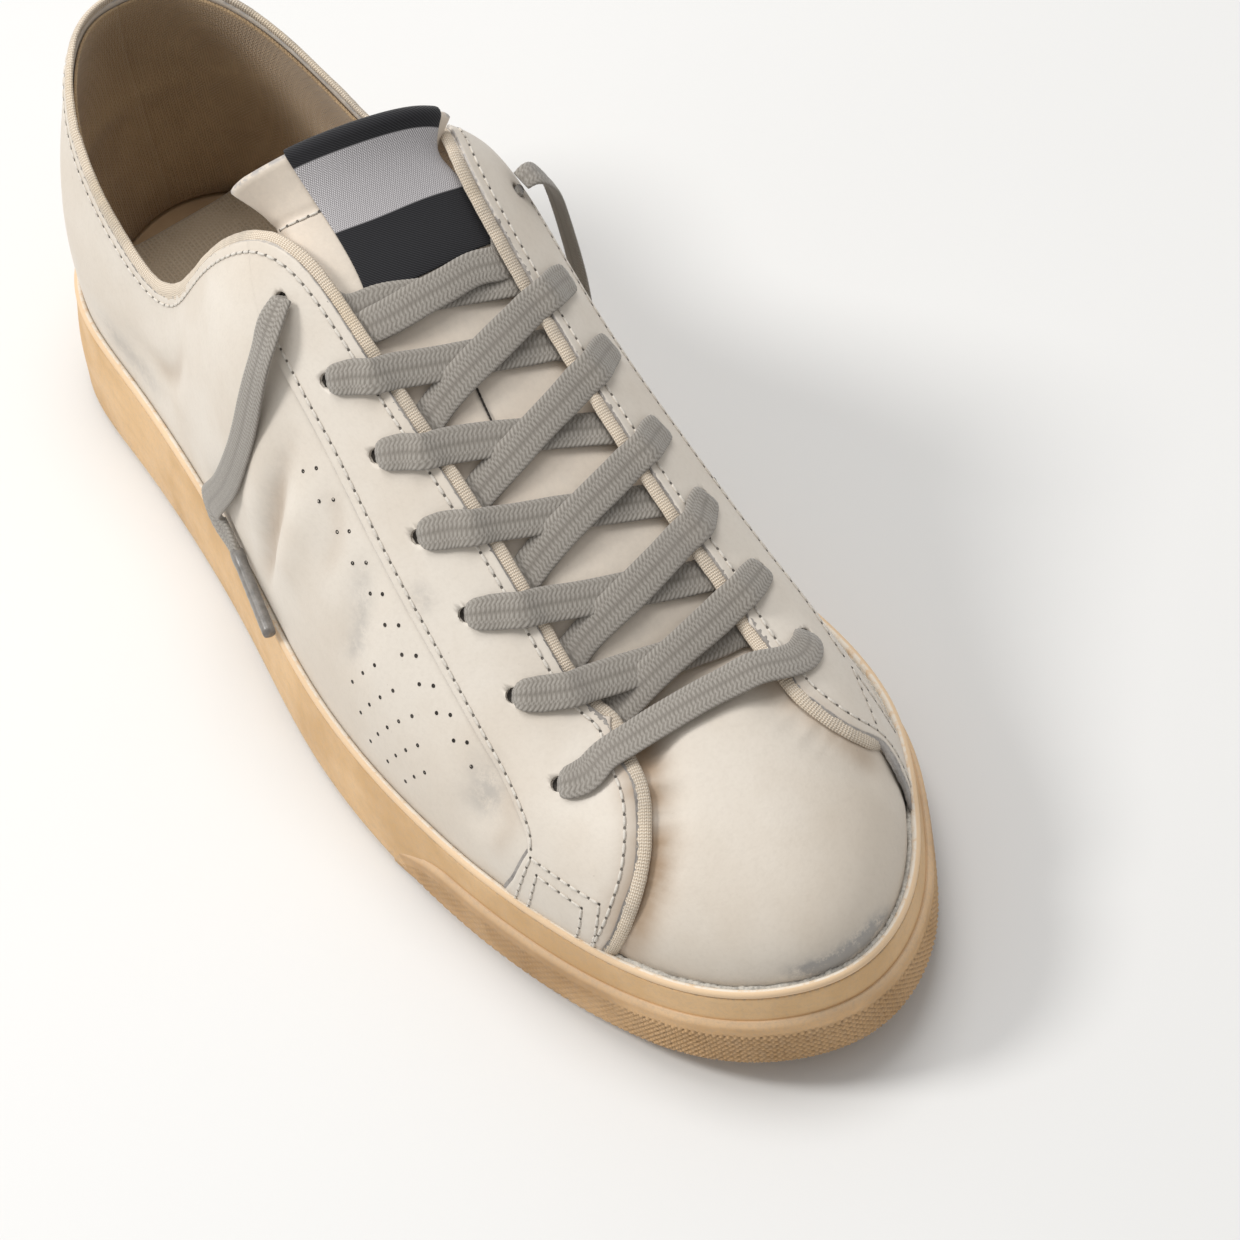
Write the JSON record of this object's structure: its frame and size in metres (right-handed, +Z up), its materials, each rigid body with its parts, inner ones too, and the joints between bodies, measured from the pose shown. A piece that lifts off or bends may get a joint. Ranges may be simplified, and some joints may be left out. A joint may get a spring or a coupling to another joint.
{
  "type": "worn out sneaker",
  "caption": "Low laced right sneaker in worn ivory leather on a tan rubber cup sole with a textured toe bumper, open at the collar.",
  "frame": {"origin": "on the floor under the middle of the shoe's own box, without its loose lace ends", "axes": "+X from the heel to the toe, +Y towards the medial side (the big toe), +Z up"},
  "size_m": [0.293, 0.1038, 0.1225],
  "materials": {
    "outsole_rubber": "matte moulded rubber, scuffed",
    "foxing_rubber": "smooth tan rubber, slightly dirty along its top edge",
    "bumper_rubber": "fine raised diamond texture",
    "upper_leather": "smooth ivory leather with scuffs, creases and dirt",
    "insole_fabric": "worn woven footbed cloth",
    "lace_cotton": "flat braided grey cotton",
    "tape_cotton": "herringbone cotton binding tape",
    "stitch_thread": "waxed thread",
    "label_woven": "bare black and grey woven label",
    "lining_fabric": "brown lining",
    "aglet_plastic": "clear plastic over grey cotton"
  },
  "bodies": {
    "root": {"outsole": "outsole_rubber", "foxing": "foxing_rubber", "toe_bumper": "bumper_rubber", "upper": "upper_leather", "insole": "insole_fabric", "tongue": "upper_leather", "lace_bar": "lace_cotton", "lace_crossing_1": "lace_cotton", "lace_crossing_2": "lace_cotton", "lace_crossing_3": "lace_cotton", "lace_crossing_4": "lace_cotton", "lace_crossing_5": "lace_cotton", "lace_crossing_6": "lace_cotton", "lace_end_lateral": "lace_cotton", "lace_end_medial": "lace_cotton", "aglet_lateral": "aglet_plastic", "aglet_medial": "aglet_plastic"}
  },
  "joints": []
}
